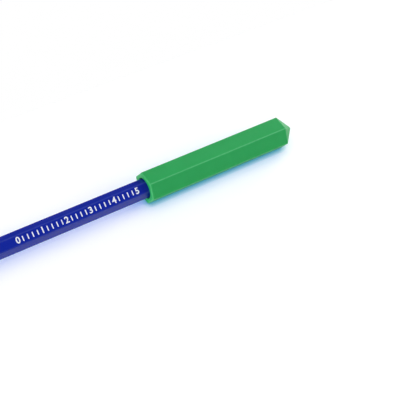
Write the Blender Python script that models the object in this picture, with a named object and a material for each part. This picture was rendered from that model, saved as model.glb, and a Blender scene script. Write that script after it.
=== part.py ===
"""A chewable hexagonal pencil topper, pushed over the eraser end of a wood-cased pencil.

The pencil's axis runs along X, from the lead's tip at -X to the topper's point at +X. The topper lies on
one of its six flats at z = 0, and the origin is under the middle of the whole length. Sizes are in metres.
"""

import cmath
import math

import bmesh
import bpy

# Topper: a hollow hexagonal moulding, closed by a low six-sided point.
TOPPER_WALL = 0.0016
TOPPER_SOLID_LENGTH = 0.0233
TOPPER_POINT_HEIGHT = 0.0055
TOPPER_TIP_FLAT = 0.0008
TOPPER_TIP_RADIUS = 0.0003
TOPPER_CORNER_RADIUS = 0.0006
TOPPER_EDGE_RADIUS = 0.00045
BORE_DEPTH = 0.0400
BORE_LIP_RADIUS = 0.0002
BORE_END_RADIUS = 0.0012

# Pencil casing: two grooved slats, glued into one hexagon and sharpened.
PENCIL_LENGTH = 0.1860
PENCIL_ACROSS_FLATS = 0.0070
PENCIL_CORNER_RADIUS = 0.0010
PENCIL_TURN = math.radians(32.5)
SHARPENING_HALF_ANGLE = math.radians(11.0)
SLAT_TIP_WALL = 0.00015
TENON_LENGTH = 0.0065

# Lead.
LEAD_RADIUS = 0.00105
LEAD_TIP_RADIUS = 0.0002

# Eraser: a plain rubber plug, as thick as the tenon.
ERASER_RADIUS = 0.0032
ERASER_PLUG_LENGTH = 0.0073
ERASER_EXPOSED_LENGTH = 0.0080
ERASER_EDGE_RADIUS = 0.0008

# Ferrule: a thin tube with raised beads, crimped round the tenon and the eraser's plug.
FERRULE_WALL = 0.00025
FERRULE_BEADS = 3
FERRULE_BEAD_HEIGHT = 0.00015
FERRULE_BEAD_WIDTH = 0.0009
FERRULE_BEAD_GAP = 0.0004

# Clearances between neighbours.
BORE_CLEARANCE = 0.00033
SEAT_CLEARANCE = 0.0004
GLUE_LINE = 0.00015
CRIMP_CLEARANCE = 0.00015

# Facets: straight steps in each sixth of a section, and in each rounded edge.
CORNER_STEPS = 7
FILLET_STEPS = 4

HEX_CORNERS = 6
CORNER_ANGLE = math.tau / HEX_CORNERS
SHARP_ANGLE = math.radians(30.0)


def corner_centre(across_flats, corner_radius):
    """Distance from a hexagon's axis to the centre of a rounded corner."""
    return (across_flats / 2 - corner_radius) / math.cos(CORNER_ANGLE / 2)


# Sizes across the axis that follow from the ones above.
PENCIL_REACH = corner_centre(PENCIL_ACROSS_FLATS, PENCIL_CORNER_RADIUS) + PENCIL_CORNER_RADIUS
GROOVE_RADIUS = LEAD_RADIUS + GLUE_LINE
FERRULE_INNER_RADIUS = ERASER_RADIUS + CRIMP_CLEARANCE
FERRULE_RADIUS = FERRULE_INNER_RADIUS + FERRULE_WALL
FERRULE_REACH = FERRULE_RADIUS + FERRULE_BEAD_HEIGHT
BORE_RADIUS = max(PENCIL_REACH, FERRULE_REACH) + BORE_CLEARANCE
TOPPER_HALF_FLATS = BORE_RADIUS + TOPPER_WALL

# Places along the axis, from the topper's mouth at x = 0.
TOPPER_SHOULDER_X = BORE_DEPTH + TOPPER_SOLID_LENGTH
TOPPER_END_X = TOPPER_SHOULDER_X + TOPPER_POINT_HEIGHT
ERASER_END_X = BORE_DEPTH - SEAT_CLEARANCE
FERRULE_END_X = ERASER_END_X - ERASER_EXPOSED_LENGTH
ERASER_START_X = FERRULE_END_X - ERASER_PLUG_LENGTH
TENON_END_X = ERASER_START_X - GLUE_LINE
FERRULE_START_X = TENON_END_X - TENON_LENGTH
TENON_START_X = FERRULE_START_X - GLUE_LINE
LEAD_TIP_X = ERASER_END_X - PENCIL_LENGTH
SHARPENING_SLOPE = math.tan(SHARPENING_HALF_ANGLE)
CONE_APEX_X = LEAD_TIP_X - LEAD_TIP_RADIUS / SHARPENING_SLOPE

# The mouth's place in the world: the origin is under the middle of the whole length.
MOUTH_X = -(LEAD_TIP_X + TOPPER_END_X) / 2
AXIS_HEIGHT = TOPPER_HALF_FLATS


def clear_scene():
    for obj in list(bpy.data.objects):
        bpy.data.objects.remove(obj, do_unlink=True)


def make_material(name, colour, roughness, metallic=0.0):
    material = bpy.data.materials.new(name)
    material.use_nodes = True
    shader = material.node_tree.nodes["Principled BSDF"]
    shader.inputs["Base Color"].default_value = (*colour, 1.0)
    shader.inputs["Roughness"].default_value = roughness
    shader.inputs["Metallic"].default_value = metallic
    return material


def arc(centre_reach, centre_angle, radius, first, last, steps):
    """Points from angle first to angle last, as (y, z), on a circle with its centre off the axis."""
    centre = cmath.rect(centre_reach, centre_angle)
    angles = [first + (last - first) * step / steps for step in range(steps + 1)]
    points = [centre + cmath.rect(radius, angle) for angle in angles]
    return [(point.real, point.imag) for point in points]


def rounded_hexagon(across_flats, corner_radius):
    """Outline of a hexagon with corners on +Y and every 60 degrees from it, as (y, z) points."""
    centre_reach = corner_centre(across_flats, corner_radius)
    outline = []
    for corner in range(HEX_CORNERS):
        middle = corner * CORNER_ANGLE
        first = middle - CORNER_ANGLE / 2
        outline += arc(centre_reach, middle, corner_radius, first, first + CORNER_ANGLE, CORNER_STEPS)
    return outline


def circle(radius):
    """Outline of a circle with as many points as a rounded hexagon, in step with its corners."""
    count = HEX_CORNERS * (CORNER_STEPS + 1)
    angles = [(index - CORNER_STEPS / 2) * math.tau / count for index in range(count)]
    return [(radius * math.cos(angle), radius * math.sin(angle)) for angle in angles]


def section(x, outline):
    """A ring of 3-D points: the outline in the plane at x."""
    return [(x, y, z) for y, z in outline]


def fillet(before, corner, after, radius):
    """Points of the arc that rounds a profile's corner, no longer than half of either side."""
    corner = complex(*corner)
    to_before = complex(*before) - corner
    to_after = complex(*after) - corner
    unit_before = to_before / abs(to_before)
    unit_after = to_after / abs(to_after)
    half_angle = abs(cmath.phase(unit_after / unit_before)) / 2
    tangent = min(radius / math.tan(half_angle), abs(to_before) / 2, abs(to_after) / 2)
    bisector = unit_before + unit_after
    centre = corner + bisector / abs(bisector) * tangent / math.cos(half_angle)
    spoke = corner + unit_before * tangent - centre
    sweep = cmath.phase((corner + unit_after * tangent - centre) / spoke)
    steps = range(FILLET_STEPS + 1)
    points = [centre + spoke * cmath.exp(1j * sweep * step / FILLET_STEPS) for step in steps]
    return [(point.real, point.imag) for point in points]


def skin(name, rings, material, hollow=False):
    """An object whose surface joins each ring to the next.

    A hollow skin joins its last ring to its first. Any other is closed by a flat face at each end.
    """
    mesh = bpy.data.meshes.new(name)
    work = bmesh.new()
    loops = [[work.verts.new(point) for point in ring] for ring in rings]
    pairs = list(zip(loops, loops[1:]))
    if hollow:
        pairs.append((loops[-1], loops[0]))
    else:
        work.faces.new(loops[0])
        work.faces.new(loops[-1])
    for one, other in pairs:
        for index in range(len(one)):
            following = (index + 1) % len(one)
            work.faces.new((one[index], one[following], other[following], other[index]))
    bmesh.ops.recalc_face_normals(work, faces=work.faces)
    work.to_mesh(mesh)
    work.free()
    mesh.shade_smooth()
    mesh.set_sharp_from_angle(angle=SHARP_ANGLE)
    mesh.materials.append(material)
    obj = bpy.data.objects.new(name, mesh)
    bpy.context.scene.collection.objects.link(obj)
    return obj


def turned(name, profile, material, hollow=False):
    """A solid of revolution about X. Its profile is a list of (x, radius) points."""
    rings = [section(x, circle(radius)) for x, radius in profile]
    return skin(name, rings, material, hollow)


def make_topper(material):
    """The outside is a hexagon that shrinks along the profile. The bore is round and blind."""
    tip_centre = (TOPPER_END_X, 0.0)
    tip_edge = (TOPPER_END_X, TOPPER_TIP_FLAT / 2)
    shoulder = (TOPPER_SHOULDER_X, TOPPER_HALF_FLATS)
    mouth_edge = (0.0, TOPPER_HALF_FLATS)
    lip = (0.0, BORE_RADIUS)
    bore_edge = (BORE_DEPTH, BORE_RADIUS)
    bore_centre = (BORE_DEPTH, 0.0)
    outside = [
        *fillet(tip_centre, tip_edge, shoulder, TOPPER_TIP_RADIUS),
        *fillet(tip_edge, shoulder, mouth_edge, TOPPER_EDGE_RADIUS),
        *fillet(shoulder, mouth_edge, lip, TOPPER_EDGE_RADIUS),
    ]
    bore = [
        *fillet(mouth_edge, lip, bore_edge, BORE_LIP_RADIUS),
        *fillet(lip, bore_edge, bore_centre, BORE_END_RADIUS),
    ]
    rings = []
    for x, half_flats in outside:
        corner_radius = TOPPER_CORNER_RADIUS * half_flats / TOPPER_HALF_FLATS
        rings.append(section(x, rounded_hexagon(2 * half_flats, corner_radius)))
    for x, radius in bore:
        rings.append(section(x, circle(radius)))
    return skin("topper", rings, material)


def slat_outline():
    """Upper half of the pencil's hexagon above the glue line, with half of the lead's groove."""
    floor = GLUE_LINE / 2
    edge_angle = math.asin(floor / PENCIL_CORNER_RADIUS)
    groove_angle = math.asin(floor / GROOVE_RADIUS)
    centre_reach = corner_centre(PENCIL_ACROSS_FLATS, PENCIL_CORNER_RADIUS)
    outline = []
    for corner in range(HEX_CORNERS // 2 + 1):
        middle = corner * CORNER_ANGLE
        first = max(middle - CORNER_ANGLE / 2, edge_angle)
        last = min(middle + CORNER_ANGLE / 2, math.pi - edge_angle)
        outline += arc(centre_reach, middle, PENCIL_CORNER_RADIUS, first, last, CORNER_STEPS)
    outline += arc(0.0, 0.0, GROOVE_RADIUS, math.pi - groove_angle, groove_angle, 2 * CORNER_STEPS)
    return outline


def make_casing_envelope(material):
    """The turned shape that bounds the casing: the sharpened cone at one end, the tenon at the other."""
    wood_tip_radius = GROOVE_RADIUS + SLAT_TIP_WALL
    free_radius = PENCIL_REACH + BORE_CLEARANCE
    profile = [
        (CONE_APEX_X + wood_tip_radius / SHARPENING_SLOPE, wood_tip_radius),
        (CONE_APEX_X + free_radius / SHARPENING_SLOPE, free_radius),
        (TENON_START_X, free_radius),
        (TENON_START_X, ERASER_RADIUS),
        (TENON_END_X, ERASER_RADIUS),
    ]
    envelope = turned("casing_envelope", profile, material)
    envelope.hide_render = True
    envelope.display_type = "WIRE"
    return envelope


def make_slat(name, material, envelope, turn):
    """One grooved slat, longer than the casing until the envelope sharpens it and cuts its tenon."""
    outline = slat_outline()
    slat = skin(name, [section(LEAD_TIP_X, outline), section(ERASER_END_X, outline)], material)
    slat.rotation_euler.x = turn
    shaping = slat.modifiers.new("sharpening_and_tenon", "BOOLEAN")
    shaping.operation = "INTERSECT"
    shaping.solver = "EXACT"
    shaping.object = envelope
    return slat


def make_lead(material):
    profile = [
        (LEAD_TIP_X, LEAD_TIP_RADIUS),
        (CONE_APEX_X + LEAD_RADIUS / SHARPENING_SLOPE, LEAD_RADIUS),
        (TENON_END_X, LEAD_RADIUS),
    ]
    return turned("lead", profile, material)


def make_ferrule(material):
    """A tube with a group of raised beads round its middle."""
    middle = (FERRULE_START_X + FERRULE_END_X) / 2
    pitch = FERRULE_BEAD_WIDTH + FERRULE_BEAD_GAP
    bead_steps = 2 * FILLET_STEPS
    beads = []
    for bead in range(FERRULE_BEADS):
        bead_x = middle + (bead - (FERRULE_BEADS - 1) / 2) * pitch
        for step in range(bead_steps + 1):
            share = step / bead_steps
            rise = FERRULE_BEAD_HEIGHT * math.sin(share * math.pi) ** 2
            beads.append((bead_x + (share - 0.5) * FERRULE_BEAD_WIDTH, FERRULE_RADIUS + rise))
    profile = [
        (FERRULE_START_X, FERRULE_INNER_RADIUS),
        (FERRULE_START_X, FERRULE_RADIUS),
        *beads,
        (FERRULE_END_X, FERRULE_RADIUS),
        (FERRULE_END_X, FERRULE_INNER_RADIUS),
    ]
    return turned("ferrule", profile, material, hollow=True)


def make_eraser(material):
    start_edge = (ERASER_START_X, ERASER_RADIUS)
    end_edge = (ERASER_END_X, ERASER_RADIUS)
    end_centre = (ERASER_END_X, 0.0)
    profile = [start_edge, *fillet(start_edge, end_edge, end_centre, ERASER_EDGE_RADIUS)]
    return turned("eraser", profile, material)


def main():
    clear_scene()
    green = make_material("topper_elastomer", (0.035, 0.365, 0.110), 0.45)
    blue = make_material("pencil_lacquer", (0.015, 0.030, 0.300), 0.25)
    graphite = make_material("graphite", (0.030, 0.030, 0.032), 0.40)
    aluminium = make_material("ferrule_aluminium", (0.800, 0.800, 0.810), 0.30, 1.0)
    pink = make_material("eraser_rubber", (0.780, 0.330, 0.320), 0.75)

    topper = make_topper(green)
    topper.location = (MOUTH_X, 0.0, AXIS_HEIGHT)

    pencil = bpy.data.objects.new("pencil_axis", None)
    bpy.context.scene.collection.objects.link(pencil)
    pencil.location = (MOUTH_X, 0.0, AXIS_HEIGHT)
    pencil.rotation_euler.x = PENCIL_TURN
    envelope = make_casing_envelope(blue)
    pieces = [
        envelope,
        make_slat("slat_upper", blue, envelope, 0.0),
        make_slat("slat_lower", blue, envelope, math.pi),
        make_lead(graphite),
        make_ferrule(aluminium),
        make_eraser(pink),
    ]
    for piece in pieces:
        piece.parent = pencil


main()
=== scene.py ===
"""Looks of a chewable hexagonal pencil topper on its wood-cased pencil. Sizes are in metres.

Every piece is a mesh built round the pencil's axis, which runs along X. Pencil pieces are made in the
pencil's own frame, with the axis at y = z = 0, and are then turned and raised to their place.
"""

import math

import bmesh
import bpy
import numpy as np
from mathutils import Matrix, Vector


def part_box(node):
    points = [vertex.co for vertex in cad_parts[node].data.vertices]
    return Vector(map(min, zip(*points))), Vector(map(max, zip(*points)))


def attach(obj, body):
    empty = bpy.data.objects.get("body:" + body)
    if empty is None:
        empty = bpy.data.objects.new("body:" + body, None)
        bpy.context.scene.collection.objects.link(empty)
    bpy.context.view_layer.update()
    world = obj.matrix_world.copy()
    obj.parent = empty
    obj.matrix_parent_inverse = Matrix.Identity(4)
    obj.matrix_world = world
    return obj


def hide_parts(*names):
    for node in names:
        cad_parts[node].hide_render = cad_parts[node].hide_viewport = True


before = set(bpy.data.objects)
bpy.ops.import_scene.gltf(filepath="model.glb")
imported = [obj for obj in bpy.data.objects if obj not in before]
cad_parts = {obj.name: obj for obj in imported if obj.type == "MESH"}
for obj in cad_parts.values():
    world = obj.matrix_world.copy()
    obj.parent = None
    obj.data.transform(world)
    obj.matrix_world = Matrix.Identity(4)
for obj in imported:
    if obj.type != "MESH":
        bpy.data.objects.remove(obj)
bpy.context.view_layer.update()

HEX_CORNERS = 6
CORNER_ANGLE = math.tau / HEX_CORNERS
HALF_CORNER = CORNER_ANGLE / 2


def reach(node):
    """A node's largest distance from the pencil's axis."""
    points = np.array([vertex.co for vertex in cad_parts[node].data.vertices])
    return float(np.hypot(points[:, 1], points[:, 2] - AXIS_HEIGHT).max())


def corner_radius(half_flats, corner_reach):
    """Radius that rounds a hexagon's corners to a given reach."""
    sharp_reach = half_flats / math.cos(HALF_CORNER)
    return (sharp_reach - corner_reach) / (1 / math.cos(HALF_CORNER) - 1)


# Places and sizes read from the frame.
TOPPER_LOW, TOPPER_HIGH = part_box("topper")
MOUTH_X = TOPPER_LOW.x
POINT_X = TOPPER_HIGH.x
AXIS_HEIGHT = TOPPER_HIGH.z / 2
TOPPER_HALF_FLATS = AXIS_HEIGHT
TOPPER_CORNER_RADIUS = corner_radius(TOPPER_HALF_FLATS, TOPPER_HIGH.y)
ERASER_START_X, ERASER_END_X = (corner.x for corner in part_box("eraser"))
ERASER_RADIUS = reach("eraser")
FERRULE_START_X, FERRULE_END_X = (corner.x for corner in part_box("ferrule"))
FERRULE_REACH = reach("ferrule")
LEAD_TIP_X, LEAD_END_X = (corner.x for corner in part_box("lead"))
LEAD_RADIUS = reach("lead")
TENON_END_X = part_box("slat_upper")[1].x
PENCIL_REACH = reach("slat_upper")

# Topper: sizes that its box doesn't give.
TOPPER_POINT_HEIGHT = 0.0055
TOPPER_TIP_FLAT = 0.0008
TOPPER_TIP_RADIUS = 0.0003
TOPPER_EDGE_RADIUS = 0.00045
MOUTH_EDGE_RADIUS = 0.00065
TOPPER_WALL = 0.0016
BORE_DEPTH = 0.0400
BORE_LIP_RADIUS = 0.0002
BORE_END_RADIUS = 0.0012

# Marks of the topper's mould: flats that sink and wave a little, and a parting line along two corners.
SINK_DEPTH = 0.00004
WAVE_HEIGHT = 0.000015
WAVES_ALONG = 5
WAVES_AROUND = 2
PARTING_RIDGE = 0.00003
PARTING_SPREAD = math.radians(3.5)

# How much the topper's cross edges are rubbed paler and painted with a highlight, where the crest of a
# long corner counts as 1.
TIP_RUBBED_AND_HIGHLIT = 0.5
SHOULDER_RUBBED_AND_HIGHLIT = 0.8
MOUTH_RUBBED_AND_HIGHLIT = 0.65

# Pencil: sizes that its boxes don't give.
PENCIL_HALF_FLATS = 0.0035
PENCIL_CORNER_RADIUS = corner_radius(PENCIL_HALF_FLATS, PENCIL_REACH)
PENCIL_TURN = math.radians(32.5)
SHARPENING_SLOPE = math.tan(math.radians(11.0))
LEAD_TIP_RADIUS = 0.0002
LEAD_TIP_ROUNDING = 0.00016
CONE_APEX_X = LEAD_TIP_X - LEAD_TIP_RADIUS / SHARPENING_SLOPE
GLUE_LINE = 0.00015
GROOVE_RADIUS = LEAD_RADIUS + GLUE_LINE
SEAM = 0.00002
LACQUER_FILM = 0.00006
CASING_END_X = FERRULE_START_X - GLUE_LINE

# Ragged edges that the sharpener leaves on the lacquer and, at the lead, on the wood.
FEWEST_WAVES = 2
CHIP_DEPTH = 0.00022
CHIP_WAVES = 39
CHIP_POWER = 3
CHIP_SEED = 3
FEATHER_EDGE = 0.00002
FEATHER_DEPTH = 0.00030
FEATHER_WAVES = 29

# Slats: side, turn round the axis, and seed of the ragged edge.
SLATS = (("upper", 0.0, 5), ("lower", math.pi, 7))

# Ferrule and eraser. A crimp's dent fades out with its spreads, inside the zone that has rings for it.
FERRULE_WALL = 0.00025
BEADS = 3
BEAD_HEIGHT = 0.00015
BEAD_WIDTH = 0.0009
BEAD_GAP = 0.0004
CRIMPS = 8
CRIMP_DEPTH = 0.00013
CRIMP_INSET = 0.0026
CRIMP_ZONE = 0.00264
CRIMP_SPREAD_ALONG = 0.00055
CRIMP_SPREAD_AROUND = math.radians(6.0)
ROLLED_EDGE = 0.00010
ERASER_EDGE_RADIUS = 0.0008
ERASER_DOME = 0.00012

# Printed scale: figures at each centimetre, with ticks between them, on the face that looks up and forward.
SCALE_FIGURES = 6
SCALE_STEP = 0.010
SCALE_DIVISIONS = 5
SCALE_END_GAP = 0.0045
FIGURE_SIZE = 0.0034
FIGURE_BOLD = 0.00008
TICK_HEIGHT = 0.0020
TICK_WIDTH = 0.00042
INK_LIFT = 0.000004
INK_FILM = 0.000012

# Smoothness: straight steps in the parts of a section and along a piece.
ARC_STEPS = 12
FLAT_STEPS = 8
FILLET_STEPS = 8
BEAD_STEPS = 16
ROUND_STEPS = 96
LENGTH_STEPS = 26
SHARP_EDGE = math.radians(40.0)
SAME_POINT = 0.0000002

TOPPER_PLACE = Matrix.Translation((0.0, 0.0, AXIS_HEIGHT))
PENCIL_PLACE = TOPPER_PLACE @ Matrix.Rotation(PENCIL_TURN, 4, "X")

# Colours, in linear light.
GREEN_DEEP = (0.013, 0.330, 0.080)
GREEN_BRIGHT = (0.018, 0.362, 0.092)
# Paler green of rubbed edges, which also stands for a painted highlight along them.
GREEN_RUBBED_AND_HIGHLIT = (0.115, 0.540, 0.225)
BLUE_DEEP = (0.006, 0.018, 0.300)
BLUE_BRIGHT = (0.009, 0.024, 0.355)
# Paler blue of rubbed edges, which also stands for a painted highlight along them.
BLUE_RUBBED_AND_HIGHLIT = (0.045, 0.068, 0.350)
CEDAR_PALE = (0.640, 0.365, 0.180)
CEDAR_DARK = (0.470, 0.225, 0.095)
CEDAR_FIBRE = (0.350, 0.155, 0.065)
GLUE_BROWN = (0.160, 0.075, 0.035)
GRAPHITE_DARK = (0.020, 0.020, 0.022)
GRAPHITE_PALE = (0.052, 0.052, 0.056)
ALUMINIUM_DULL = (0.72, 0.72, 0.73)
ALUMINIUM_BRIGHT = (0.86, 0.86, 0.87)
PINK_DEEP = (0.700, 0.270, 0.255)
PINK_PALE = (0.800, 0.370, 0.350)
SMUDGE_GREY = (0.230, 0.150, 0.150)
INK_WHITE = (0.86, 0.88, 0.93)
INK_THIN = (0.42, 0.48, 0.70)
WHITE = (1.0, 1.0, 1.0)

# Most of a noise lies between these values.
NOISE_LOW = 0.3
NOISE_HIGH = 0.7

# Rubbed edges, partly wear and partly a painted highlight: the mesh holds how much in this attribute, and
# patches keep at least this share of it.
EDGE_WEAR_AND_HIGHLIGHT = "worn_and_highlight"
WEAR_AND_HIGHLIGHT_PATCH_SIZE = 0.0015
WEAR_AND_HIGHLIGHT_LEAST = 0.6

# Cedar: how far its growth rings are squeezed along each axis. Glue shows dark up to the stain's edge from
# the seam, and not at all past the fade.
RING_SQUEEZE = (25.0, 900.0, 350.0)
GLUE_STAIN = 0.00003
GLUE_FADE = 0.00009
GLUE_MOST = 0.7

# Eraser: the length at its end that is smudged, and by how much at most.
SMUDGE_LENGTH = 0.0012
SMUDGE_MOST = 0.5

# Sockets of Blender's Mix node when it mixes colours.
MIX_FACTOR = 0
MIX_ONE = 6
MIX_OTHER = 7
MIX_RESULT = 2

# The floor ends close behind the object, where the world's own white goes on, and lies a hair below it.
FLOOR_FRONT = 3.0
FLOOR_BACK = 0.06
FLOOR_SIDE = 3.0
FLOOR_DROP = 0.00005

# The floor's colour as a card that lights the object, what it shows where nothing shades it, and how much
# of each colour a full shadow takes from that.
FLOOR_GREY = (0.80, 0.80, 0.80)
FLOOR_WHITE = 1.09
SHADOW_DEPTH = np.array((1.00, 0.87, 0.36))

# Contact shadow: within this reach of the object, the floor's colour goes down to a tint of itself as its
# openness to the sky falls from open to closed.
CONTACT_REACH = 0.0023
CONTACT_OPEN = 1.00
CONTACT_CLOSED = 0.30
CONTACT_TINT = np.array((0.15, 0.50, 0.52))

# The room is dark. In what gloss, metal and glass mirror, the floor's white goes on almost to the horizon:
# it ends between these heights of a ray's direction.
ROOM_LIGHT = 0.025
WHITE_UP_TO = -0.15
DARK_FROM = -0.05

# Soft distant lamps: azimuth and elevation of the way to the lamp and its angular size, in degrees, and its
# strength.
LAMPS = {
    "key": (155.0, 66.0, 60.0, 0.60),
    "top_fill": (45.0, 66.0, 60.0, 0.92),
    "front_right": (335.0, 25.0, 40.0, 1.60),
    "front_left": (228.0, 21.0, 66.0, 0.86),
    "back": (40.0, 9.0, 40.0, 1.70),
    "end_fill": (182.0, 8.0, 50.0, 2.10),
}

# If gloss mirrored these fills, they would whiten each glossy face that is seen at a slant. If the end's
# fill cast a shadow, the floor past the topper's point wouldn't stay white.
UNMIRRORED_LAMPS = ("top_fill", "end_fill")
SHADOWLESS_LAMPS = ("end_fill",)

# The camera looks at a point at the height of the axis, past the topper's mouth and a little in front.
CAMERA_PAST_MOUTH = 0.01594
CAMERA_ASIDE = -0.01484
CAMERA_DISTANCE = 0.4580
CAMERA_AZIMUTH = math.radians(-39.75)
CAMERA_ELEVATION = math.radians(50.11)
CAMERA_ROLL = math.radians(9.29)
CAMERA_LENS = 108.0
SENSOR_WIDTH = 36.0
CLIP_START = 0.01


# Outlines and meshes.

def hexagon(half_flats, radius, low=-HALF_CORNER, high=math.tau - HALF_CORNER):
    """Rounded hexagon with a corner on +Y and every 60 degrees, between two directions of its normal.

    Returns the points as complex numbers y + iz, and for each point how deep it lies in a flat and how near
    it is to the crest of a corner, both from 0 to 1.
    """
    points = []
    depths = []
    crests = []

    def add_flat(end):
        """Adds the points inside the flat that runs from the last point to another."""
        shares = np.arange(1, FLAT_STEPS) / FLAT_STEPS
        points.extend(points[-1] + (end - points[-1]) * shares)
        depths.extend(np.sin(np.pi * shares))
        crests.extend(np.zeros(len(shares)))

    centre_reach = (half_flats - radius) / math.cos(HALF_CORNER)
    first = math.floor((low + HALF_CORNER) / CORNER_ANGLE)
    past_last = math.ceil((high + HALF_CORNER) / CORNER_ANGLE)
    for corner in range(first, past_last):
        middle = corner * CORNER_ANGLE
        angles = np.linspace(max(middle - HALF_CORNER, low), min(middle + HALF_CORNER, high), ARC_STEPS + 1)
        arc = centre_reach * np.exp(1j * middle) + radius * np.exp(1j * angles)
        if points:
            add_flat(arc[0])
        points.extend(arc)
        depths.extend(np.zeros(len(arc)))
        crests.extend(1.0 - np.abs(angles - middle) / HALF_CORNER)
    whole = high - low > math.tau - CORNER_ANGLE / ARC_STEPS
    if whole:
        add_flat(points[0])
    return np.array(points), np.array(depths), np.array(crests)


def circle(radius):
    return radius * np.exp(1j * math.tau * np.arange(ROUND_STEPS) / ROUND_STEPS)


def fillet(before, corner, after, radius):
    """Points of the arc that rounds a profile's corner. A profile's points are complex: x + i radius."""
    unit_before = (before - corner) / abs(before - corner)
    unit_after = (after - corner) / abs(after - corner)
    half_angle = abs(np.angle(unit_after / unit_before)) / 2
    tangent = radius / math.tan(half_angle)
    bisector = unit_before + unit_after
    centre = corner + bisector / abs(bisector) * radius / math.sin(half_angle)
    spoke = corner + unit_before * tangent - centre
    sweep = np.angle((corner + unit_after * tangent - centre) / spoke)
    return list(centre + spoke * np.exp(1j * sweep * np.arange(FILLET_STEPS + 1) / FILLET_STEPS))


def ring(x, outline):
    """A ring of 3-D points from an outline. x is one place for all, or one for each point."""
    return np.column_stack((np.broadcast_to(x, outline.shape), outline.real, outline.imag))


def ripple(angle, most_waves, seed):
    """A smooth closed curve of random bumps from 0 to 1 round the axis, the same on each run."""
    random = np.random.default_rng(seed)
    total = np.zeros_like(angle)
    for waves in range(FEWEST_WAVES, most_waves + 1):
        total += np.sin(waves * angle + random.uniform(0, math.tau)) / math.sqrt(waves)
    return (total - total.min()) / (total.max() - total.min())


def piece(name, mesh, place, body, material):
    """Adds a smooth-shaded mesh to the scene as a piece that rides on a body."""
    mesh.shade_smooth()
    mesh.set_sharp_from_angle(angle=SHARP_EDGE)
    mesh.materials.append(material)
    obj = bpy.data.objects.new(name, mesh)
    bpy.context.scene.collection.objects.link(obj)
    obj.matrix_world = place
    normals = obj.modifiers.new("flat_sides_stay_flat", "WEIGHTED_NORMAL")
    normals.keep_sharp = True
    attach(obj, body)
    return obj


def close_up(work):
    """Joins the points of a mesh that coincide, and turns its faces outwards."""
    bmesh.ops.remove_doubles(work, verts=work.verts, dist=SAME_POINT)
    bmesh.ops.recalc_face_normals(work, faces=work.faces)


def loft(name, rings, hollow=False, worn_and_highlight=None):
    """A closed mesh that joins each ring to the next.

    A hollow one joins its last ring to its first. Any other is closed by a face at each end. The last
    argument holds a value for each point, which the material reads as how much its edge is rubbed paler
    and painted with a highlight.
    """
    count = len(rings[0])
    joins = len(rings) if hollow else len(rings) - 1
    faces = []
    for start in range(joins):
        one = start * count
        other = (start + 1) % len(rings) * count
        for index in range(count):
            following = (index + 1) % count
            faces.append((one + index, one + following, other + following, other + index))
    if not hollow:
        faces.append(tuple(range(count)))
        faces.append(tuple(range((len(rings) - 1) * count, len(rings) * count)))
    mesh = bpy.data.meshes.new(name)
    mesh.from_pydata(np.concatenate(rings).tolist(), [], faces)
    if worn_and_highlight is not None:
        mesh.attributes.new(EDGE_WEAR_AND_HIGHLIGHT, "FLOAT", "POINT").data.foreach_set("value", np.concatenate(worn_and_highlight))
    work = bmesh.new()
    work.from_mesh(mesh)
    close_up(work)
    work.to_mesh(mesh)
    work.free()
    return mesh


def turned(name, profile):
    """A mesh of revolution. Its profile's points are complex: x + i radius."""
    return loft(name, [ring(point.real, circle(point.imag)) for point in profile])


# Topper.

def topper_outline(x, half_flats, shoulder_x):
    """The topper's section at x, and how near each of its points is to the crest of a corner.

    The flats sink and wave a little, and a parting line runs along two corners.
    """
    scale = half_flats / TOPPER_HALF_FLATS
    outline, depth, crest = hexagon(half_flats, TOPPER_CORNER_RADIUS * scale)
    direction = outline / abs(outline)
    angle = np.angle(outline)
    along = np.clip((x - MOUTH_X) / (shoulder_x - MOUTH_X), 0.0, 1.0)
    away_from_ends = math.sqrt(max(0.0, math.sin(math.pi * along)))
    wave = np.sin(WAVES_ALONG * math.tau * along + WAVES_AROUND * angle) * WAVE_HEIGHT
    outline = outline - direction * depth * away_from_ends * (SINK_DEPTH + wave)
    from_parting = np.abs((angle + math.pi / 2) % math.pi - math.pi / 2)
    on_corner = np.clip(1.0 - from_parting / HALF_CORNER, 0.0, 1.0)
    ridge = np.exp(-((from_parting / PARTING_SPREAD) ** 2))
    return outline - direction * PARTING_RIDGE * scale * on_corner * (1.0 - ridge), crest


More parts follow.
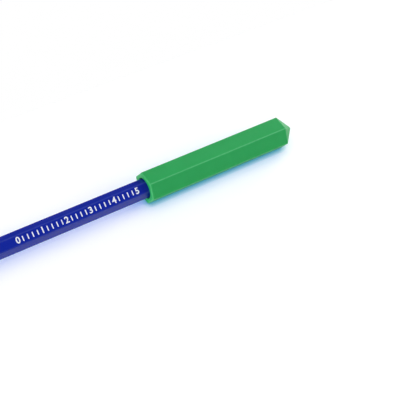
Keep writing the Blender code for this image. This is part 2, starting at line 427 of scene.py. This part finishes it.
def make_topper(material):
    """A hexagonal moulding with a low point, and a round blind bore."""
    shoulder_x = POINT_X - TOPPER_POINT_HEIGHT
    bore_end_x = MOUTH_X + BORE_DEPTH
    bore_radius = TOPPER_HALF_FLATS - TOPPER_WALL
    tip_edge = complex(POINT_X, TOPPER_TIP_FLAT / 2)
    shoulder = complex(shoulder_x, TOPPER_HALF_FLATS)
    mouth_edge = complex(MOUTH_X, TOPPER_HALF_FLATS)
    lip = complex(MOUTH_X, bore_radius)
    bore_edge = complex(bore_end_x, bore_radius)
    tip = fillet(complex(POINT_X, 0.0), tip_edge, shoulder, TOPPER_TIP_RADIUS)
    shoulder_round = fillet(tip_edge, shoulder, mouth_edge, TOPPER_EDGE_RADIUS)
    mouth_round = fillet(shoulder, mouth_edge, lip, MOUTH_EDGE_RADIUS)
    side = np.linspace(shoulder_round[-1], mouth_round[0], LENGTH_STEPS + 1)[1:-1]
    bore = [
        *fillet(mouth_edge, lip, bore_edge, BORE_LIP_RADIUS),
        *fillet(lip, bore_edge, complex(bore_end_x, 0.0), BORE_END_RADIUS),
    ]
    stretches = (
        (tip, TIP_RUBBED_AND_HIGHLIT),
        (shoulder_round, SHOULDER_RUBBED_AND_HIGHLIT),
        (side, 0.0),
        (mouth_round, MOUTH_RUBBED_AND_HIGHLIT),
    )
    rings = []
    worn_and_highlight = []
    for profile, rubbed_and_highlit in stretches:
        crests = 1.0 - np.abs(np.linspace(-1.0, 1.0, len(profile)))
        for point, crest in zip(profile, crests):
            outline, corner_crest = topper_outline(point.real, point.imag, shoulder_x)
            before_mouth = min(1.0, (point.real - MOUTH_X) / MOUTH_EDGE_RADIUS)
            rings.append(ring(point.real, outline))
            # The corners' crests and the cross edges get wear and a painted highlight.
            worn_and_highlight.append(np.maximum(corner_crest * before_mouth, rubbed_and_highlit * crest))
    around = np.angle(hexagon(TOPPER_HALF_FLATS, TOPPER_CORNER_RADIUS)[0])
    for point in bore:
        rings.append(ring(point.real, point.imag * np.exp(1j * around)))
        worn_and_highlight.append(np.zeros(len(around)))
    mesh = loft("topper_moulding", rings, worn_and_highlight=worn_and_highlight)
    topper = piece("topper_moulding", mesh, TOPPER_PLACE, "topper", material)
    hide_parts("topper")


# Pencil.

def cone_x(radius):
    """Where the sharpened cone has a radius."""
    return CONE_APEX_X + radius / SHARPENING_SLOPE


def make_lacquer(material):
    """The lacquer film on the casing's six faces, cut to scallops by the sharpening."""
    outline, _, crest = hexagon(PENCIL_HALF_FLATS, PENCIL_CORNER_RADIUS)
    inner = outline * (1.0 - LACQUER_FILM / abs(outline))
    chips = CHIP_DEPTH * ripple(np.angle(outline), CHIP_WAVES, CHIP_SEED) ** CHIP_POWER
    front = cone_x(abs(outline)) + chips
    rings = [ring(cone_x(abs(inner)) + chips, inner), ring(front, outline)]
    # The cut edge and the corners' crests get wear and a painted highlight.
    worn_and_highlight = [np.ones(len(outline)), np.ones(len(outline))]
    for share in np.linspace(0.0, 1.0, LENGTH_STEPS + 1)[1:]:
        rings.append(ring(front + (CASING_END_X - front) * share, outline))
        worn_and_highlight.append(crest)
    rings.append(ring(CASING_END_X, inner))
    worn_and_highlight.append(np.zeros(len(outline)))
    mesh = loft("lacquer_coat", rings, hollow=True, worn_and_highlight=worn_and_highlight)
    piece("lacquer_coat", mesh, PENCIL_PLACE, "pencil", material)


def make_slat(side, turn, seed, material):
    """One cedar slat: half a hexagon with half of the lead's groove.

    It is sharpened at one end, and has a tenon for the ferrule at the other.
    """
    seam_angle = math.asin(SEAM / 2 / PENCIL_CORNER_RADIUS)
    groove_angle = math.asin(SEAM / 2 / GROOVE_RADIUS)
    outline = hexagon(PENCIL_HALF_FLATS, PENCIL_CORNER_RADIUS, seam_angle, math.pi - seam_angle)[0]
    angle = np.angle(outline)
    direction = outline / abs(outline)
    hex_radius = abs(outline) - LACQUER_FILM
    groove = GROOVE_RADIUS * np.exp(1j * np.clip(angle, groove_angle, math.pi - groove_angle))
    tip_x = cone_x(GROOVE_RADIUS + FEATHER_EDGE) + FEATHER_DEPTH * ripple(angle, FEATHER_WAVES, seed)
    sections = []
    for share in np.linspace(0.0, 1.0, LENGTH_STEPS):
        x = tip_x + (cone_x(hex_radius) - tip_x) * share
        sections.append((x, SHARPENING_SLOPE * (x - CONE_APEX_X)))
    sections.append((CASING_END_X, hex_radius))
    sections.append((CASING_END_X, ERASER_RADIUS))
    sections.append((TENON_END_X, ERASER_RADIUS))
    rings = [np.concatenate((ring(x, direction * radius), ring(x, groove)[::-1])) for x, radius in sections]
    name = f"cedar_slat_{side}"
    mesh = loft(name, rings)
    mesh.transform(Matrix.Rotation(turn, 4, "X"))
    slat = piece(name, mesh, PENCIL_PLACE, "pencil", material)
    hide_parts(f"slat_{side}")


def make_lead(material):
    """The graphite core, with a slightly blunted point. It fills the groove up to a hair."""
    radius = GROOVE_RADIUS - SEAM / 2
    blunt = complex(LEAD_TIP_X, 0.0)
    blunt_edge = complex(LEAD_TIP_X, LEAD_TIP_RADIUS)
    shoulder = complex(cone_x(radius), radius)
    tip = fillet(blunt, blunt_edge, shoulder, LEAD_TIP_ROUNDING)
    cone = np.linspace(tip[-1], shoulder, LENGTH_STEPS)[1:]
    profile = [*tip, *cone, complex(LEAD_END_X, radius)]
    lead = piece("lead_core", turned("lead_core", profile), PENCIL_PLACE, "pencil", material)
    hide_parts("lead")


def make_ferrule(material):
    """A thin aluminium sleeve with raised beads, rolled edges and a ring of crimps that bite the wood."""
    radius = FERRULE_REACH - BEAD_HEIGHT
    middle = (FERRULE_START_X + FERRULE_END_X) / 2
    shares = np.linspace(0.0, 1.0, BEAD_STEPS + 1)
    from_middle = shares - 0.5
    beads = []
    for bead in range(BEADS):
        bead_x = middle + (bead - (BEADS - 1) / 2) * (BEAD_WIDTH + BEAD_GAP)
        rise = BEAD_HEIGHT * np.sin(shares * math.pi) ** 2
        beads += list(bead_x + from_middle * BEAD_WIDTH + 1j * (radius + rise))
    crimp_x = FERRULE_START_X + CRIMP_INSET
    crimp_side = crimp_x + from_middle * CRIMP_ZONE + 1j * radius
    start_edge = complex(FERRULE_START_X, radius)
    end_edge = complex(FERRULE_END_X, radius)
    start_inside = start_edge - 1j * FERRULE_WALL
    end_inside = end_edge - 1j * FERRULE_WALL
    profile = [
        *fillet(start_inside, start_edge, end_edge, ROLLED_EDGE),
        *crimp_side,
        *beads,
        *fillet(start_edge, end_edge, end_inside, ROLLED_EDGE),
        end_inside,
        *(crimp_side[::-1] - 1j * FERRULE_WALL),
        start_inside,
    ]
    around = circle(1.0)
    pitch = math.tau / CRIMPS
    from_crimp = (np.angle(around) + pitch / 2) % pitch - pitch / 2
    across = np.exp(-((from_crimp / CRIMP_SPREAD_AROUND) ** 2))
    rings = []
    for point in profile:
        along = math.exp(-(((point.real - crimp_x) / CRIMP_SPREAD_ALONG) ** 2))
        rings.append(ring(point.real, around * (point.imag - CRIMP_DEPTH * across * along)))
    mesh = loft("ferrule_sleeve", rings, hollow=True)
    ferrule = piece("ferrule_sleeve", mesh, PENCIL_PLACE, "pencil", material)
    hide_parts("ferrule")


def make_eraser(material):
    """A rubber plug with a rounded rim and a slightly domed end."""
    start = complex(ERASER_START_X, ERASER_RADIUS)
    rim = complex(ERASER_END_X - ERASER_DOME, ERASER_RADIUS)
    rounding = fillet(start, rim, complex(rim.real, 0.0), ERASER_EDGE_RADIUS)
    side = np.linspace(start, rounding[0], LENGTH_STEPS)
    dome_radius = rounding[-1].imag
    shares = np.linspace(1.0, 0.0, FILLET_STEPS + 1)[1:-1]
    dome = [complex(rim.real + ERASER_DOME * (1 - share**2), dome_radius * share) for share in shares]
    mesh = turned("eraser_plug", [*side, *rounding[1:], *dome])
    eraser = piece("eraser_plug", mesh, PENCIL_PLACE, "pencil", material)
    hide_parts("eraser")


def add_tick(work, x):
    """A printed bar with round ends."""
    angles = np.linspace(0.0, math.pi, FILLET_STEPS + 1)
    end = TICK_WIDTH / 2 * np.exp(1j * angles) + 1j * (TICK_HEIGHT - TICK_WIDTH) / 2
    outline = x + np.concatenate((end, -end))
    face = work.faces.new([work.verts.new((point.real, point.imag, 0.0)) for point in outline])
    lifted = bmesh.ops.extrude_face_region(work, geom=[face])["geom"]
    top = [element for element in lifted if isinstance(element, bmesh.types.BMVert)]
    bmesh.ops.translate(work, verts=top, vec=(0.0, 0.0, INK_FILM))


def add_figure(work, x, text):
    """A printed figure, from Blender's own plain font."""
    curve = bpy.data.curves.new("figure", "FONT")
    curve.body = text
    curve.size = FIGURE_SIZE
    curve.offset = FIGURE_BOLD
    curve.extrude = INK_FILM / 2
    curve.align_x = "CENTER"
    curve.align_y = "CENTER"
    writer = bpy.data.objects.new("figure", curve)
    mesh = bpy.data.meshes.new_from_object(writer)
    mesh.transform(Matrix.Translation((x, 0.0, INK_FILM / 2)))
    work.from_mesh(mesh)
    bpy.data.objects.remove(writer)
    bpy.data.curves.remove(curve)
    bpy.data.meshes.remove(mesh)


def make_scale(material):
    """A plain centimetre scale, printed where the topper leaves the pencil bare."""
    work = bmesh.new()
    last_x = MOUTH_X - SCALE_END_GAP
    for figure in range(SCALE_FIGURES):
        figure_x = last_x - (SCALE_FIGURES - 1 - figure) * SCALE_STEP
        add_figure(work, figure_x, str(figure))
        if figure < SCALE_FIGURES - 1:
            for tick in range(1, SCALE_DIVISIONS):
                add_tick(work, figure_x + SCALE_STEP * tick / SCALE_DIVISIONS)
    close_up(work)
    mesh = bpy.data.meshes.new("printed_scale")
    work.to_mesh(mesh)
    work.free()
    lift = Matrix.Translation((0.0, 0.0, PENCIL_HALF_FLATS + INK_LIFT))
    piece("printed_scale", mesh, PENCIL_PLACE @ lift, "pencil", material)


# Nodes.

def add(tree, kind, inputs=(), **settings):
    """Adds a node. inputs maps a socket's name or index to a value or to the socket that feeds it."""
    node = tree.nodes.new(kind)
    for name, value in settings.items():
        setattr(node, name, value)
    for name, value in dict(inputs).items():
        if isinstance(value, bpy.types.NodeSocket):
            tree.links.new(value, node.inputs[name])
        else:
            node.inputs[name].default_value = value
    return node


def opaque(colour):
    """A colour as a node's socket takes it, with an alpha of 1. A socket stays as it is."""
    return colour if isinstance(colour, bpy.types.NodeSocket) else (*colour, 1.0)


def start_material(name, **values):
    """A material with a Principled shader. values are its constant sockets, with _ for spaces."""
    material = bpy.data.materials.new(name)
    material.use_nodes = True
    shader = material.node_tree.nodes["Principled BSDF"]
    for socket, value in values.items():
        shader.inputs[socket.replace("_", " ")].default_value = value
    return material, material.node_tree, shader


def finish_shader(tree, shader, colour, roughness, normal):
    tree.links.new(colour, shader.inputs["Base Color"])
    tree.links.new(roughness, shader.inputs["Roughness"])
    tree.links.new(normal, shader.inputs["Normal"])


def own_place(tree):
    """Places in the piece's own frame, in metres."""
    return add(tree, "ShaderNodeTexCoord").outputs["Object"]


def scaled(tree, vector, scale):
    return add(tree, "ShaderNodeMapping", {"Vector": vector, "Scale": scale}).outputs["Vector"]


def component(tree, vector, axis):
    return add(tree, "ShaderNodeSeparateXYZ", {"Vector": vector}).outputs[axis]


def grain(tree, size, stretch=(1.0, 1.0, 1.0), detail=3.0):
    """Noise in the piece's own frame, with features of a size in metres, stretched along its axes."""
    scale = [1.0 / (size * along) for along in stretch]
    noise = {"Vector": scaled(tree, own_place(tree), scale), "Scale": 1.0, "Detail": detail}
    return add(tree, "ShaderNodeTexNoise", noise).outputs["Fac"]


def remap(tree, value, start, end, low=0.0, high=1.0):
    """Maps the range from start to end to the one from low to high, and goes no further."""
    inputs = {"Value": value, "From Min": start, "From Max": end, "To Min": low, "To Max": high}
    return add(tree, "ShaderNodeMapRange", inputs).outputs["Result"]


def ramp(tree, noise, low, high):
    """Maps the middle of a noise to a range."""
    return remap(tree, noise, NOISE_LOW, NOISE_HIGH, low, high)


def blend_colour(tree, factor, one, other):
    """Mixes two colours. Each is a triple, or the socket that gives it."""
    inputs = {MIX_FACTOR: factor, MIX_ONE: opaque(one), MIX_OTHER: opaque(other)}
    return add(tree, "ShaderNodeMix", inputs, data_type="RGBA").outputs[MIX_RESULT]


def multiply(tree, one, other):
    return add(tree, "ShaderNodeMath", {0: one, 1: other}, operation="MULTIPLY").outputs[0]


def larger(tree, one, other):
    return add(tree, "ShaderNodeMath", {0: one, 1: other}, operation="MAXIMUM").outputs[0]


def bump(tree, height, depth, over=None):
    """Bumps of a height from 0 to 1 and a depth in metres, laid over other bumps if there are any."""
    inputs = {"Height": height, "Distance": depth, "Strength": 1.0}
    if over is not None:
        inputs["Normal"] = over
    return add(tree, "ShaderNodeBump", inputs).outputs["Normal"]


def worn_edge(tree, most):
    """How much an edge is rubbed paler and painted with a highlight, broken up by fine noise."""
    edge = add(tree, "ShaderNodeAttribute", attribute_name=EDGE_WEAR_AND_HIGHLIGHT).outputs["Fac"]
    patches = ramp(tree, grain(tree, WEAR_AND_HIGHLIGHT_PATCH_SIZE), low=WEAR_AND_HIGHLIGHT_LEAST * most, high=most)
    return multiply(tree, edge, patches)


# Materials.

def elastomer():
    """Satin moulded elastomer: faint mottling, a fine moulded texture, edges paler from wear and painted
    highlight.
    """
    material, tree, shader = start_material(
        "topper_elastomer",
        IOR=1.38,
        Subsurface_Weight=0.06,
        Subsurface_Radius=(0.3, 1.0, 0.4),
        Subsurface_Scale=0.0008,
    )
    mottling = grain(tree, size=0.0060)
    sheen = grain(tree, size=0.0020)
    swells = grain(tree, size=0.0035, detail=1.0)
    texture = grain(tree, size=0.00016)
    mottled = blend_colour(tree, mottling, GREEN_DEEP, GREEN_BRIGHT)
    # The edges turn paler, partly from wear and partly as a painted highlight on the corners and the
    # mouth's rim.
    colour = blend_colour(tree, worn_edge(tree, most=0.95), mottled, GREEN_RUBBED_AND_HIGHLIT)
    roughness = ramp(tree, sheen, low=0.40, high=0.52)
    normal = bump(tree, texture, depth=0.000006, over=bump(tree, swells, depth=0.00003))
    finish_shader(tree, shader, colour, roughness, normal)
    return material


def lacquer():
    """Deep blue gloss lacquer. The wood's grain shows through it as long shallow streaks."""
    material, tree, shader = start_material("pencil_lacquer", IOR=1.35)
    streaks = grain(tree, size=0.00025, stretch=(60.0, 1.0, 1.0))
    sheen = grain(tree, size=0.0020, stretch=(4.0, 1.0, 1.0))
    orange_peel = grain(tree, size=0.0007, stretch=(2.0, 1.0, 1.0), detail=1.0)
    streaked = blend_colour(tree, streaks, BLUE_DEEP, BLUE_BRIGHT)
    # The edges turn paler, partly from wear and partly as a painted highlight along the corners.
    colour = blend_colour(tree, worn_edge(tree, most=0.60), streaked, BLUE_RUBBED_AND_HIGHLIT)
    roughness = ramp(tree, sheen, low=0.10, high=0.20)
    normal = bump(tree, orange_peel, depth=0.000004, over=bump(tree, streaks, depth=0.000006))
    finish_shader(tree, shader, colour, roughness, normal)
    return material


def cedar():
    """Bare cedar: growth rings cut by the cone, fine fibres, sharpening marks and a dark glue line."""
    material, tree, shader = start_material("bare_cedar")
    place = own_place(tree)
    squeezed = scaled(tree, place, RING_SQUEEZE)
    waves = {"Vector": squeezed, "Scale": 0.55, "Distortion": 3.0, "Detail": 2.0, "Detail Scale": 1.5}
    rings = add(tree, "ShaderNodeTexWave", waves, bands_direction="Y").outputs["Fac"]
    fibres = grain(tree, size=0.00009, stretch=(35.0, 1.0, 1.0))
    shavings = grain(tree, size=0.00022, stretch=(1.0, 30.0, 30.0), detail=1.0)
    wood = blend_colour(tree, rings, CEDAR_PALE, CEDAR_DARK)
    fibred = blend_colour(tree, ramp(tree, fibres, low=0.0, high=0.55), wood, CEDAR_FIBRE)
    height = component(tree, place, "Z")
    from_seam = add(tree, "ShaderNodeMath", {0: height}, operation="ABSOLUTE").outputs[0]
    glue = remap(tree, from_seam, GLUE_STAIN, GLUE_FADE, low=GLUE_MOST, high=0.0)
    colour = blend_colour(tree, glue, fibred, GLUE_BROWN)
    roughness = ramp(tree, fibres, low=0.60, high=0.80)
    normal = bump(tree, shavings, depth=0.000010, over=bump(tree, fibres, depth=0.000018))
    finish_shader(tree, shader, colour, roughness, normal)
    return material


def graphite():
    """Baked graphite and clay: dark, a little shiny, with fine marks round the cone."""
    material, tree, shader = start_material("graphite", Metallic=0.25)
    marks = grain(tree, size=0.00008, stretch=(1.0, 40.0, 40.0))
    sheen = grain(tree, size=0.0003)
    colour = blend_colour(tree, marks, GRAPHITE_DARK, GRAPHITE_PALE)
    roughness = ramp(tree, sheen, low=0.32, high=0.50)
    finish_shader(tree, shader, colour, roughness, bump(tree, marks, depth=0.000012))
    return material


def aluminium():
    """Bright rolled aluminium with fine lines round the sleeve and faint handling marks."""
    material, tree, shader = start_material("ferrule_aluminium", Metallic=1.0)
    lines = grain(tree, size=0.00007, stretch=(1.0, 60.0, 60.0))
    smears = grain(tree, size=0.0022)
    colour = blend_colour(tree, smears, ALUMINIUM_DULL, ALUMINIUM_BRIGHT)
    roughness = ramp(tree, lines, low=0.20, high=0.36)
    normal = bump(tree, smears, depth=0.000010, over=bump(tree, lines, depth=0.000004))
    finish_shader(tree, shader, colour, roughness, normal)
    return material


def eraser_rubber():
    """Matte pink rubber with pumice specks, smudged grey where it has rubbed."""
    material, tree, shader = start_material("eraser_rubber")
    specks = grain(tree, size=0.00025, detail=2.0)
    patches = grain(tree, size=0.0016)
    dents = grain(tree, size=0.0012)
    pink = blend_colour(tree, ramp(tree, specks, low=0.0, high=1.0), PINK_DEEP, PINK_PALE)
    along = component(tree, own_place(tree), "X")
    end = remap(tree, along, ERASER_END_X - SMUDGE_LENGTH, ERASER_END_X, high=SMUDGE_MOST)
    smudge = multiply(tree, end, ramp(tree, patches, low=0.0, high=1.0))
    colour = blend_colour(tree, smudge, pink, SMUDGE_GREY)
    roughness = ramp(tree, specks, low=0.75, high=0.92)
    normal = bump(tree, dents, depth=0.00004, over=bump(tree, specks, depth=0.000030))
    finish_shader(tree, shader, colour, roughness, normal)
    return material


def white_ink():
    """Opaque white ink, a little thin in places."""
    material, tree, shader = start_material("white_ink")
    thinning = grain(tree, size=0.0004)
    sheen = grain(tree, size=0.0006)
    texture = grain(tree, size=0.00012)
    colour = blend_colour(tree, ramp(tree, thinning, low=0.0, high=0.35), INK_WHITE, INK_THIN)
    roughness = ramp(tree, sheen, low=0.35, high=0.55)
    finish_shader(tree, shader, colour, roughness, bump(tree, texture, depth=0.000004))
    return material


# Stage, light and camera.

def light_paths(tree):
    """Sockets that are 1 for rays from the camera, and for rays that gloss, metal or glass sends on."""
    path = add(tree, "ShaderNodeLightPath").outputs
    return path["Is Camera Ray"], larger(tree, path["Is Glossy Ray"], path["Is Transmission Ray"])


def floor_material():
    """White with pale blue shadows, deeper near contact. It lights the object as plain pale card."""
    material = bpy.data.materials.new("floor")
    material.use_nodes = True
    tree = material.node_tree
    tree.nodes.clear()
    card = add(tree, "ShaderNodeBsdfDiffuse", {"Color": opaque(FLOOR_GREY)})
    openness = add(tree, "ShaderNodeAmbientOcclusion", {"Distance": CONTACT_REACH}).outputs["AO"]
    away = remap(tree, openness, CONTACT_CLOSED, CONTACT_OPEN)
    shaded = FLOOR_WHITE - SHADOW_DEPTH
    lit_colour = blend_colour(tree, away, SHADOW_DEPTH * CONTACT_TINT, SHADOW_DEPTH)
    glow_colour = blend_colour(tree, away, shaded * CONTACT_TINT, shaded)
    lit = add(tree, "ShaderNodeBsdfDiffuse", {"Color": lit_colour})
    glow = add(tree, "ShaderNodeEmission", {"Color": glow_colour, "Strength": 1.0})
    shown = add(tree, "ShaderNodeAddShader", {0: lit.outputs[0], 1: glow.outputs[0]})
    from_camera, sent_on = light_paths(tree)
    seen = larger(tree, from_camera, sent_on)
    mixed = add(tree, "ShaderNodeMixShader", {0: seen, 1: card.outputs[0], 2: shown.outputs[0]})
    add(tree, "ShaderNodeOutputMaterial", {"Surface": mixed.outputs[0]})
    return material


def make_floor(material):
    mesh = bpy.data.meshes.new("floor")
    corners = [(-FLOOR_SIDE, -FLOOR_FRONT, 0.0), (FLOOR_SIDE, -FLOOR_FRONT, 0.0)]
    corners += [(FLOOR_SIDE, FLOOR_BACK, 0.0), (-FLOOR_SIDE, FLOOR_BACK, 0.0)]
    mesh.from_pydata(corners, [], [(0, 1, 2, 3)])
    mesh.materials.append(material)
    floor = bpy.data.objects.new("floor", mesh)
    bpy.context.scene.collection.objects.link(floor)
    floor.location.z = -FLOOR_DROP


def make_world():
    """A dark room, white behind the object and, where something mirrors it, almost up to the horizon."""
    world = bpy.data.worlds.new("studio")
    bpy.context.scene.world = world
    world.use_nodes = True
    tree = world.node_tree
    tree.nodes.clear()
    direction = add(tree, "ShaderNodeTexCoord").outputs["Generated"]
    below = remap(tree, component(tree, direction, "Z"), WHITE_UP_TO, DARK_FROM, low=1.0, high=0.0)
    from_camera, sent_on = light_paths(tree)
    seen = larger(tree, from_camera, multiply(tree, sent_on, below))
    room = add(tree, "ShaderNodeBackground", {"Color": opaque(WHITE), "Strength": ROOM_LIGHT})
    white = add(tree, "ShaderNodeBackground", {"Color": opaque(WHITE), "Strength": 1.0})
    mixed = add(tree, "ShaderNodeMixShader", {0: seen, 1: room.outputs[0], 2: white.outputs[0]})
    add(tree, "ShaderNodeOutputWorld", {"Surface": mixed.outputs[0]})


def make_lamp(name, azimuth, elevation, angle, strength):
    lamp = bpy.data.lights.new(name, "SUN")
    lamp.angle = math.radians(angle)
    lamp.energy = strength
    lamp.use_shadow = name not in SHADOWLESS_LAMPS
    obj = bpy.data.objects.new(name, lamp)
    obj.rotation_euler = (math.radians(90.0 - elevation), 0.0, math.radians(90.0 + azimuth))
    obj.visible_glossy = name not in UNMIRRORED_LAMPS
    bpy.context.scene.collection.objects.link(obj)


def make_camera():
    turn = Matrix.Rotation(CAMERA_AZIMUTH, 4, "Z") @ Matrix.Rotation(math.pi / 2 - CAMERA_ELEVATION, 4, "X")
    target = Matrix.Translation((MOUTH_X + CAMERA_PAST_MOUTH, CAMERA_ASIDE, AXIS_HEIGHT))
    back = Matrix.Translation((0.0, 0.0, CAMERA_DISTANCE))
    lens = bpy.data.cameras.new("camera")
    lens.lens = CAMERA_LENS
    lens.sensor_width = SENSOR_WIDTH
    lens.clip_start = CLIP_START
    camera = bpy.data.objects.new("camera", lens)
    camera.matrix_world = target @ turn @ Matrix.Rotation(CAMERA_ROLL, 4, "Z") @ back
    bpy.context.scene.collection.objects.link(camera)
    bpy.context.scene.camera = camera


def main():
    make_topper(elastomer())
    make_lacquer(lacquer())
    wood = cedar()
    for side, turn, seed in SLATS:
        make_slat(side, turn, seed, wood)
    make_lead(graphite())
    make_ferrule(aluminium())
    make_eraser(eraser_rubber())
    make_scale(white_ink())
    make_floor(floor_material())
    make_world()
    for name, values in LAMPS.items():
        make_lamp(name, *values)
    make_camera()
    bpy.context.scene.view_settings.view_transform = "Standard"


main()
